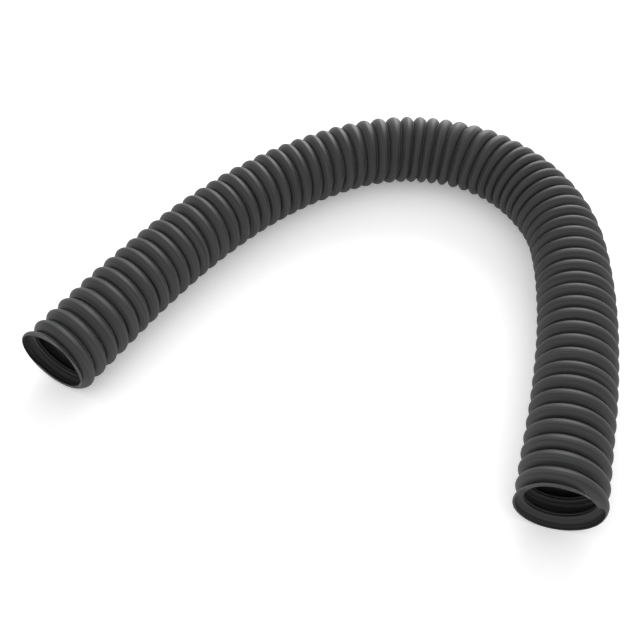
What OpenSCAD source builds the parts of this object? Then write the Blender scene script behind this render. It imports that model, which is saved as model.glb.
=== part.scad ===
// A length of vacuum hose lying on the floor in a hook.
// One strip of soft plastic is wound in close turns, each turn arched outwards, and a thin weld bead
// runs along the valley between two turns. Both ends are cut square and open.
// Millimetres, +Z up. The origin is on the floor, at the middle of the hose's outline.

/* [Strip] */
// Outside diameter, over the crest of a turn
outer_d = 47; // [46:0.5:50]
// Diameter of the bore, where two turns lap
bore_d = 38; // [36:0.5:38]
// Distance from one turn to the next
pitch = 10; // [10:0.5:11]
// The same where a tight bend presses the turns together
tight_pitch = 9.1; // [9.1:0.1:10]
// Thickness of the strip over a turn
wall = 1.1; // [0.8:0.1:1.4]

/* [Valley] */
// Depth of the valley between two turns
valley_depth = 3.2; // [2.4:0.1:3.2]
// Width of the valley
valley_w = 3; // [2.6:0.1:3.4]

/* [Hollow] */
// Width of the hollow under a turn, which opens into the bore
hollow_w = 4.6; // [3:0.1:4.6]

/* [Seam] */
// Thickness of the weld bead, which lies in a valley on the side of the earlier turn
bead_d = 1; // [0.6:0.1:1.2]

/* [Hidden] */
$fn = 64;

// The hose from the left mouth to the right one, stretch by stretch:
// name, number of turns, degrees that the hose bends to the right, distance between turns
route = [
    ["left_mouth", 5, 0, pitch],
    ["left_leg_1", 6, 5, pitch],
    ["left_leg_2", 6, 9, pitch],
    ["left_flex", 2, 4, pitch],
    ["crown_1", 7, 17, pitch],
    ["crown_2", 4, 18, tight_pitch],
    ["crown_3", 4, 19, tight_pitch],
    ["crown_4", 4, 24, tight_pitch],
    ["crown_5", 4, 22, tight_pitch],
    ["crown_6", 3, 14, tight_pitch],
    ["crown_7", 3, 15, tight_pitch],
    ["right_flex", 2, 5, pitch],
    ["right_leg_1", 6, 8, pitch],
    ["right_leg_2", 6, 5, pitch],
    ["right_mouth", 5.5, 0, pitch]
];
start = [-160.5, -59.9]; // middle of the left mouth
heading = 58;           // way that the hose leaves it, from +X towards +Y

outer_r = outer_d / 2;
bore_r = bore_d / 2;
floor_r = outer_r - valley_depth; // floor of the valley
reach = 1;                        // how far a cutter passes the face that it cuts
bead_back = bead_d / 2 + 0.1;     // from the middle of a valley back to the middle of its bead
hinge_gap = 0.1;                  // where a stretch that flexes meets a leg

// What a stretch holds
function turns(i) = route[i][1];
function bend(i) = route[i][2];
function spacing(i) = route[i][3];
function length_of(i) = turns(i) * spacing(i);
function bend_r(i) = length_of(i) / (bend(i) * PI / 180);

// Place and heading at distance d along stretch i, counted from that stretch's own start
function ahead(i, d) =
    bend(i) == 0
        ? [d, 0]
        : let (a = bend(i) * d / length_of(i)) [bend_r(i) * sin(a), -bend_r(i) * (1 - cos(a))];
function turned(i, d) = -bend(i) * d / length_of(i);
function swing(p, a) = [p.x * cos(a) - p.y * sin(a), p.x * sin(a) + p.y * cos(a)];

// Place and heading where stretch i starts
function heading_at(i) = i == 0 ? heading : heading_at(i - 1) + turned(i - 1, length_of(i - 1));
function start_at(i) =
    i == 0 ? start : start_at(i - 1) + swing(ahead(i - 1, length_of(i - 1)), heading_at(i - 1));

// Puts its children on the centreline, with +X along the hose
module on_route(i, d) {
    p = start_at(i) + swing(ahead(i, d), heading_at(i));
    translate([p.x, p.y, outer_r]) rotate([0, 0, heading_at(i) + turned(i, d)]) children();
}

// A 2D shape spun round the centreline: its X is the distance from the centreline, its Y runs along
module ring() {
    rotate([0, 90, 0]) rotate_extrude() children();
}

// Gap at the start and the end of stretch i
function gap_before(i) = route[i][0] == "left_flex" ? hinge_gap : 0;
function gap_after(i) = route[i][0] == "right_flex" ? hinge_gap : 0;

// Straight turns: the whole section is spun at once
module straight_turns(i) {
    on_route(i, 0) ring() difference() {
        translate([bore_r, 0]) square([outer_r - bore_r, length_of(i)]);
        for (n = [0 : turns(i)])
            translate([floor_r, n * spacing(i) - valley_w / 2]) square([valley_depth + reach, valley_w]);
        for (n = [0.5 : turns(i)])
            translate([bore_r - reach, n * spacing(i) - hollow_w / 2])
                square([outer_r - wall - bore_r + reach, hollow_w]);
    }
}

// A bent tube between two radii, from distance d along stretch i
module bent_tube(i, d, length, inner, outer) {
    angle = bend(i) * length / length_of(i);
    on_route(i, d) translate([0, -bend_r(i), 0]) rotate([0, 0, 90 - angle])
        rotate_extrude(angle = angle, $fn = 128) translate([bend_r(i), 0]) difference() {
            circle(r = outer);
            circle(r = inner);
        }
}

// Bent turns: a bent tube, less a shorter and thicker one at each valley and each hollow
module bent_turns(i) {
    difference() {
        bent_tube(i, gap_before(i), length_of(i) - gap_before(i) - gap_after(i), bore_r, outer_r);
        for (n = [0 : turns(i)])
            bent_tube(i, n * spacing(i) - valley_w / 2, valley_w, floor_r, outer_r + reach);
        for (n = [0.5 : turns(i)])
            bent_tube(i, n * spacing(i) - hollow_w / 2, hollow_w, bore_r - reach, outer_r - wall);
    }
}

// The arched turns of one stretch: a valley at each end and between turns, a hollow under each turn
module strip(i) {
    color("#3f4042")
        if (bend(i) == 0) straight_turns(i);
        else bent_turns(i);
}

// The weld bead in each valley of one stretch
module bead(i) {
    color("#515254") for (n = [1 : turns(i)]) on_route(i, n * spacing(i) - bead_back)
        ring() translate([floor_r + bead_d / 2, 0]) circle(d = bead_d);
}

for (i = [0 : len(route) - 1]) {
    strip(i);
    bead(i);
}
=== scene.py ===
import math

import bmesh
import bpy
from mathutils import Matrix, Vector, noise


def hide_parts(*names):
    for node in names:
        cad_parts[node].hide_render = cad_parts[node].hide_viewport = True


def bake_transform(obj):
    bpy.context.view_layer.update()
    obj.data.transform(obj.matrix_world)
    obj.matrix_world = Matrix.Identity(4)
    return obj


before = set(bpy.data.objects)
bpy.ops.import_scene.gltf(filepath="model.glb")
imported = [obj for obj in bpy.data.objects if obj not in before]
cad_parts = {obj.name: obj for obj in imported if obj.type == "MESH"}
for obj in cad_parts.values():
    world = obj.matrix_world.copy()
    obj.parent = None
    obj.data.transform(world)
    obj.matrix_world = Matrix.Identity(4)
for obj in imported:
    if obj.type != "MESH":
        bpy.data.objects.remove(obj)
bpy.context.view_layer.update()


# camera
print("camera")
view = {
    "target": (-0.0055, -0.0264, 0.0235),
    "distance": 0.4953,
    "elevation": 50.3,
    "lens": 45.9,  # on a 36 mm sensor
}


def makeCamera():
    camera = bpy.data.objects.new("camera", bpy.data.cameras.new("camera"))
    bpy.context.scene.collection.objects.link(camera)
    tilt = math.radians(view["elevation"])
    back = Vector((0, -math.cos(tilt), math.sin(tilt)))
    camera.location = Vector(view["target"]) + back * view["distance"]
    camera.rotation_euler = back.to_track_quat("Z", "Y").to_euler()
    camera.data.lens = view["lens"]
    camera.data.sensor_width = 36
    camera.data.clip_start = 0.01
    bpy.context.scene.camera = camera


makeCamera()

# The route of the hose, as the CAD has it, from the left mouth to the right one
route = {
    "start": (-0.1605, -0.0599),
    "heading": 58,     # degrees from +X towards +Y
    "axisHeight": 0.0235,
    # stretch, turns, degrees that it bends to the right, distance between turns
    "stretches": [
        ("left_mouth", 5, 0, 0.010),
        ("left_leg_1", 6, 5, 0.010),
        ("left_leg_2", 6, 9, 0.010),
        ("left_flex", 2, 4, 0.010),
        ("crown_1", 7, 17, 0.010),
        ("crown_2", 4, 18, 0.0091),
        ("crown_3", 4, 19, 0.0091),
        ("crown_4", 4, 24, 0.0091),
        ("crown_5", 4, 22, 0.0091),
        ("crown_6", 3, 14, 0.0091),
        ("crown_7", 3, 15, 0.0091),
        ("right_flex", 2, 5, 0.010),
        ("right_leg_1", 6, 8, 0.010),
        ("right_leg_2", 6, 5, 0.010),
        ("right_mouth", 5.5, 0, 0.010),
    ],
}


def layStretches():
    # Each stretch with its own start: (distance, length, x, y, heading, bend), angles in radians
    laid = []
    distance = 0.0
    x, y = route["start"]
    heading = math.radians(route["heading"])
    for name, turns, degrees, spacing in route["stretches"]:
        length = turns * spacing
        bend = math.radians(degrees)
        laid.append((distance, length, x, y, heading, bend))
        x, y, heading = alongStretch(laid[-1], length)
        distance += length
    return laid


def alongStretch(stretch, ahead):
    _, length, x, y, heading, bend = stretch
    if bend == 0:
        return x + ahead * math.cos(heading), y + ahead * math.sin(heading), heading
    radius = length / bend
    turned = heading - ahead / radius
    x += radius * (math.sin(heading) - math.sin(turned))
    y -= radius * (math.cos(heading) - math.cos(turned))
    return x, y, turned


laidStretches = layStretches()
hoseLength = laidStretches[-1][0] + laidStretches[-1][1]


def onRoute(distance):
    # Middle of the hose and its heading at a distance from the left mouth
    for stretch in reversed(laidStretches):
        if distance >= stretch[0] or stretch is laidStretches[0]:
            x, y, heading = alongStretch(stretch, distance - stretch[0])
            return Vector((x, y, route["axisHeight"])), heading


def curvature(distance):
    # Bend per metre, to the right, eased from the middle of one stretch to the middle of the next
    middles = [(s[0] + s[1] / 2, s[5] / s[1]) for s in laidStretches]
    if distance <= middles[0][0]:
        return middles[0][1]
    for (d0, c0), (d1, c1) in zip(middles, middles[1:]):
        if distance <= d1:
            share = (distance - d0) / (d1 - d0)
            return c0 + (c1 - c0) * share * share * (3 - 2 * share)
    return middles[-1][1]


# hose
print("hose")
hose = {
    "pitch": 0.010,        # as wound, before it is laid
    "steps": 60,           # round each turn
    "splitTurn": 34,       # the two halves meet in this turn's valley
    # how many turns lie before a distance from the left mouth
    "turnsBefore": [
        (-0.030, -3.03), (0.0, 0.0), (0.190, 19.2), (0.260, 26.5), (0.300, 30.5), (0.335, 34.6),
        (0.370, 38.2), (0.420, 44.0), (0.460, 48.2), (0.500, 52.22), (0.655, 67.79), (0.685, 70.8),
    ],
    "crest": 0.0237,       # radius over a turn
    "valley": 0.0191,      # radius at the foot of a turn
    "bore": 0.0186,
    "turnMiddle": 0.0050,  # from the near edge of a turn to its crest
    "turnHalf": 0.0048,    # half of a turn's width at its foot
    "wall": 0.0011,
    "roundness": 1.75,      # 2 is a round arch, more is squarer
    "slit": 0.00005,       # between the edges of two turns, under the weld
    "flatten": 1.5,        # how fast the valleys fill where the hose is stretched
    "pinch": 0.0036,       # how fast the turns sink where it is pressed
    # leftMouth and rightMouth are each cut a little out of square: place in the middle, slope to the left
    "leftCut": (0.0007, -0.054),
    "rightCut": (-0.0017, -0.054),
    "wobble": 0.00012,
}


pitch = hose["pitch"]


def arch(middle, half, foot, height, roundness, count):
    # Points over an arch, from its near foot to its far one, as (along, out)
    points = []
    for i in range(count + 1):
        t = math.pi * i / count
        c, s = math.cos(t), math.sin(t)
        along = middle - half * math.copysign(abs(c) ** (2 / roundness), c)
        points.append((along, foot + height * abs(s) ** (2 / roundness)))
    return points


def stripSection():
    foot, bore, wall = hose["valley"], hose["bore"], hose["wall"]
    middle, half = hose["turnMiddle"], hose["turnHalf"]
    near, far = 0.0, pitch - hose["slit"]
    outside = arch(middle, half, foot, hose["crest"] - foot, hose["roundness"], 28)
    inside = arch(middle, half - wall, bore, hose["crest"] - wall - bore, 4, 7)
    return [(near, foot)] + outside + [(far, foot), (far, bore)] + inside[::-1] + [(near, bore)]


# The thin weld that closes the valley between two turns
seam = {
    "half": 0.0004,     # half of its width at the foot
    "tipHalf": 0.0003,  # and at the tip
    "foot": 0.0187,     # radii
    "top": 0.0199,
}


def seamSection():
    half, foot = seam["half"], seam["foot"]
    tip = arch(0, seam["tipHalf"], seam["top"] - half, half, 2, 4)
    return [(-half, foot)] + tip + [(half, foot)]


def wind(section, firstTurn, turns):
    # Spins a closed section for one turn of the helix, then copies that turn along
    bm = bmesh.new()
    across = bm.verts.layers.float.new("across")
    ring = []
    start = firstTurn * pitch
    for along, out in section:
        vert = bm.verts.new((start + along, 0, -out))
        vert[across] = along
        ring.append(vert)
    edges = [bm.edges.new((ring[i - 1], ring[i])) for i in range(len(ring))]
    steps = hose["steps"]
    bmesh.ops.spin(
        bm, geom=ring + edges, axis=(1, 0, 0), cent=(0, 0, 0), dvec=(pitch / steps, 0, 0),
        angle=-math.tau, steps=steps, use_merge=False,
    )
    turn = bm.verts[:] + bm.edges[:] + bm.faces[:]
    for count in range(1, turns):
        copied = bmesh.ops.duplicate(bm, geom=turn)["geom"]
        verts = [item for item in copied if isinstance(item, bmesh.types.BMVert)]
        bmesh.ops.translate(bm, verts=verts, vec=(count * pitch, 0, 0))
    bmesh.ops.remove_doubles(bm, verts=bm.verts, dist=1e-6)
    return bm, across


def cutMouth(bm, place, slope, outward):
    # Cuts the wound strip off at a mouth
    bmesh.ops.bisect_plane(
        bm, geom=bm.verts[:] + bm.edges[:] + bm.faces[:], dist=1e-7,
        plane_co=(place, 0, 0), plane_no=(outward, -outward * slope, 0), clear_outer=True,
    )


def closeEnds(bm):
    open_ = [edge for edge in bm.edges if edge.is_boundary]
    filled = bmesh.ops.holes_fill(bm, edges=open_, sides=0)["faces"]
    for face in filled:
        for edge in face.edges:
            edge.smooth = False
    bmesh.ops.triangulate(bm, faces=filled, quad_method="BEAUTY", ngon_method="BEAUTY")


def reshape(out, strain):
    # Radius of a point of a turn, after the bend has stretched or pressed it
    rise = (out - hose["valley"]) / (hose["crest"] - hose["valley"])
    if rise <= 0:
        return out
    if strain > 0:
        return hose["crest"] - (hose["crest"] - out) * (1 - hose["flatten"] * strain)
    return out + hose["pinch"] * strain * rise


def distanceOf(turns):
    # Where along the route a number of turns has been laid
    table = hose["turnsBefore"]
    for (d0, n0), (d1, n1) in zip(table, table[1:]):
        if turns <= n1 or (d1, n1) == table[-1]:
            return d0 + (d1 - d0) * (turns - n0) / (n1 - n0)


def turnsTo(distance):
    # How many turns have been laid up to a distance along the route
    table = hose["turnsBefore"]
    for (d0, n0), (d1, n1) in zip(table, table[1:]):
        if distance <= d1:
            return n0 + (n1 - n0) * (distance - d0) / (d1 - d0)


def layOnRoute(bm, across):
    # Carries the straight hose onto its route
    along = bm.verts.layers.float_vector.new("wound")
    for vert in bm.verts:
        x, y, z = vert.co
        out = math.hypot(y, z)
        middle, heading = onRoute(distanceOf(x / pitch))
        strain = curvature(distanceOf(x / pitch)) * y
        vert[along] = ((x - vert[across]) / pitch * math.tau * hose["crest"], vert[across], strain)
        reshaped = reshape(out, strain) + hose["wobble"] * noise.noise(Vector((x, y, z)) * 60)
        scale = reshaped / out
        side = Vector((-math.sin(heading), math.cos(heading), 0))
        vert.co = middle + side * (y * scale) + Vector((0, 0, z * scale))


def putInOrder(items, placeOf):
    ordered = sorted(items, key=lambda item: tuple(round(value, 6) for value in placeOf(item)))
    for number, item in enumerate(ordered):
        item.index = number
    items.sort()


def makePiece(name, section, firstTurn, turns, mouth):
    bm, across = wind(section, firstTurn, turns)
    if mouth == "left":
        place, slope = hose["leftCut"]
        cutMouth(bm, turnsTo(0) * pitch + place, slope, -1)
    else:
        place, slope = hose["rightCut"]
        cutMouth(bm, turnsTo(hoseLength) * pitch + place, slope, 1)
    closeEnds(bm)
    layOnRoute(bm, across)
    bmesh.ops.recalc_face_normals(bm, faces=bm.faces)
    for face in bm.faces:
        face.smooth = True
    # bmesh leaves copied turns in a chance order, so that is put right for the same mesh each run
    putInOrder(bm.verts, lambda vert: vert.co)
    putInOrder(bm.faces, lambda face: face.calc_center_median())
    mesh = bpy.data.meshes.new(name)
    bm.to_mesh(mesh)
    bm.free()
    piece = bpy.data.objects.new(name, mesh)
    bpy.context.scene.collection.objects.link(piece)
    return piece


splitTurn = hose["splitTurn"]
splitAt = distanceOf(splitTurn)
hoseLeft = makePiece("hose_left", stripSection(), -2, splitTurn + 2, "left")
hoseRight = makePiece("hose_right", stripSection(), splitTurn, 36, "right")
seamLeft = makePiece("seam_left", seamSection(), -3, splitTurn + 3, "left")
seamRight = makePiece("seam_right", seamSection(), splitTurn, 36, "right")
for piece in (hoseLeft, hoseRight, seamLeft, seamRight):
    print(piece.name, len(piece.data.vertices), "points", len(piece.data.polygons), "faces")


def routePoints(first, last):
    count = round(abs(last - first) / 0.005)
    return [onRoute(first + (last - first) * i / count)[0] for i in range(count + 1)]


halves = [
    # piece, weld, body at its start, body at its end, start and end of the bending stretch, mouth
    (hoseLeft, seamLeft, "left_leg", "crown", 0.070, 0.290, 0.0),
    (hoseRight, seamRight, "crown", "right_leg", 0.360, 0.580, hoseLength),
]
for piece, weld, bodyA, bodyB, bendStart, bendEnd, mouth in halves:
    for part in (piece, weld):
        onRoute(bendStart)[0]
        onRoute(bendEnd)[0]
        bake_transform(part)
    leftHalf = mouth < splitAt
    names = []
    for stretch, laid in zip(route["stretches"], laidStretches):
        # A stretch belongs to the half in which its first turn lies
        if (laid[0] < splitAt - pitch / 2) == leftHalf:
            names.append(stretch[0])
    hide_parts(*[name + "_strip" for name in names])
    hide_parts(*[name + "_bead" for name in names])
    onRoute(splitAt)[0]
    routePoints(splitAt, mouth)


# materials
print("materials")


def addNode(tree, kind, **values):
    node = tree.nodes.new(kind)
    for key, value in values.items():
        setattr(node, key, value)
    return node


def makeDrawnPlastic():
    # Streaks and grain of a plastic strip, drawn along its length
    group = bpy.data.node_groups.new("drawnPlastic", "ShaderNodeTree")
    for name, kind, way in [
        ("Wound", "NodeSocketVector", "INPUT"),
        ("Dark", "NodeSocketColor", "INPUT"),
        ("Light", "NodeSocketColor", "INPUT"),
        ("Color", "NodeSocketColor", "OUTPUT"),
        ("Roughness", "NodeSocketFloat", "OUTPUT"),
        ("Height", "NodeSocketFloat", "OUTPUT"),
    ]:
        group.interface.new_socket(name, in_out=way, socket_type=kind)
    inputs = addNode(group, "NodeGroupInput")
    outputs = addNode(group, "NodeGroupOutput")
    stretch = addNode(group, "ShaderNodeMapping")
    stretch.inputs["Scale"].default_value = (18, 1500, 0)
    streaks = addNode(group, "ShaderNodeTexNoise")
    streaks.inputs["Scale"].default_value = 1
    streaks.inputs["Detail"].default_value = 3
    grain = addNode(group, "ShaderNodeTexNoise")
    grain.inputs["Scale"].default_value = 900
    grain.inputs["Detail"].default_value = 4
    place = addNode(group, "ShaderNodeTexCoord")
    mix = addNode(group, "ShaderNodeMix", data_type="RGBA")
    add = addNode(group, "ShaderNodeMath", operation="MULTIPLY_ADD")
    add.inputs[1].default_value = 0.35
    split = addNode(group, "ShaderNodeSeparateXYZ")
    angle = addNode(group, "ShaderNodeMath", operation="MULTIPLY")
    angle.inputs[1].default_value = math.tau / 0.0023  # metres from one faint ridge to the next
    wave = addNode(group, "ShaderNodeMath", operation="SINE")
    ridges = addNode(group, "ShaderNodeMath", operation="MULTIPLY_ADD")
    ridges.inputs[1].default_value = 1.2
    contrast = addNode(group, "ShaderNodeMapRange")
    contrast.inputs["From Min"].default_value = 0.32
    contrast.inputs["From Max"].default_value = 0.68
    rough = addNode(group, "ShaderNodeMapRange")
    rough.inputs["To Min"].default_value = 0.5
    rough.inputs["To Max"].default_value = 0.68
    link = group.links.new
    link(inputs.outputs["Wound"], stretch.inputs["Vector"])
    link(stretch.outputs["Vector"], streaks.inputs["Vector"])
    link(place.outputs["Object"], grain.inputs["Vector"])
    link(grain.outputs["Fac"], add.inputs[0])
    link(streaks.outputs["Fac"], add.inputs[2])
    link(streaks.outputs["Fac"], contrast.inputs["Value"])
    link(contrast.outputs["Result"], mix.inputs["Factor"])
    link(inputs.outputs["Dark"], mix.inputs["A"])
    link(inputs.outputs["Light"], mix.inputs["B"])
    link(mix.outputs["Result"], outputs.inputs["Color"])
    link(streaks.outputs["Fac"], rough.inputs["Value"])
    link(rough.outputs["Result"], outputs.inputs["Roughness"])
    link(inputs.outputs["Wound"], split.inputs["Vector"])
    link(split.outputs["Y"], angle.inputs[0])
    link(angle.outputs["Value"], wave.inputs[0])
    link(wave.outputs["Value"], ridges.inputs[0])
    link(add.outputs["Value"], ridges.inputs[2])
    link(ridges.outputs["Value"], outputs.inputs["Height"])
    return group


drawnPlastic = makeDrawnPlastic()


def makePlastic(name, dark, light, bumpDepth):
    material = bpy.data.materials.new(name)
    material.use_nodes = True
    tree = material.node_tree
    shader = tree.nodes["Principled BSDF"]
    shader.inputs["Specular IOR Level"].default_value = 0.4
    wound = addNode(tree, "ShaderNodeAttribute", attribute_name="wound")
    drawn = addNode(tree, "ShaderNodeGroup", node_tree=drawnPlastic)
    drawn.inputs["Dark"].default_value = dark
    drawn.inputs["Light"].default_value = light
    bump = addNode(tree, "ShaderNodeBump")
    bump.inputs["Strength"].default_value = 0.5
    bump.inputs["Distance"].default_value = bumpDepth
    link = tree.links.new
    link(wound.outputs["Vector"], drawn.inputs["Wound"])
    link(drawn.outputs["Color"], shader.inputs["Base Color"])
    link(drawn.outputs["Roughness"], shader.inputs["Roughness"])
    link(drawn.outputs["Height"], bump.inputs["Height"])
    link(bump.outputs["Normal"], shader.inputs["Normal"])
    return material


stripPlastic = makePlastic("stripPlastic", (0.012, 0.0123, 0.013, 1), (0.042, 0.0425, 0.044, 1), 0.00005)
# The weld is coloured several times lighter than the strip: painted highlight, standing in for the thin
# light line that light catches along the edge of each turn
seamPlasticPaintedHighlight = makePlastic("seamPlasticPaintedHighlight", (0.06, 0.061, 0.063, 1), (0.12, 0.122, 0.126, 1), 0.00003)
for piece in (hoseLeft, hoseRight):
    piece.data.materials.append(stripPlastic)
for piece in (seamLeft, seamRight):
    piece.data.materials.append(seamPlasticPaintedHighlight)


# floor and light
print("floor and light")
studio = {
    "floor": 3.0,  # half of its side
    "glow": 0.25,  # of the floor itself, which keeps it white
    "sky": 0.95,
    # a low light from behind, which draws the far edge of each turn
    "backPlace": (0.4, 1.15, 0.45),
    "backTarget": (0, 0.05, 0),
    "backSize": 0.8,
    "backPower": 15,
}


def makeFloor():
    bm = bmesh.new()
    bmesh.ops.create_grid(bm, x_segments=1, y_segments=1, size=studio["floor"])
    mesh = bpy.data.meshes.new("floor")
    bm.to_mesh(mesh)
    bm.free()
    floor = bpy.data.objects.new("floor", mesh)
    bpy.context.scene.collection.objects.link(floor)
    material = bpy.data.materials.new("floorPaper")
    material.use_nodes = True
    shader = material.node_tree.nodes["Principled BSDF"]
    shader.inputs["Base Color"].default_value = (0.9, 0.9, 0.9, 1)
    shader.inputs["Roughness"].default_value = 0.9
    shader.inputs["Emission Color"].default_value = (1, 1, 1, 1)
    shader.inputs["Emission Strength"].default_value = studio["glow"]
    mesh.materials.append(material)


def makeLight(name, place, target, size, power):
    lamp = bpy.data.lights.new(name, "AREA")
    lamp.shape = "SQUARE"
    lamp.size = size
    lamp.energy = power
    light = bpy.data.objects.new(name, lamp)
    bpy.context.scene.collection.objects.link(light)
    light.location = place
    light.rotation_euler = (Vector(place) - Vector(target)).to_track_quat("Z", "Y").to_euler()


makeFloor()
world = bpy.data.worlds.new("studio")
world.use_nodes = True
world.node_tree.nodes["Background"].inputs["Color"].default_value = (1, 1, 1, 1)
world.node_tree.nodes["Background"].inputs["Strength"].default_value = studio["sky"]
bpy.context.scene.world = world
makeLight("back", studio["backPlace"], studio["backTarget"], studio["backSize"], studio["backPower"])
bpy.context.scene.view_settings.view_transform = "Standard"
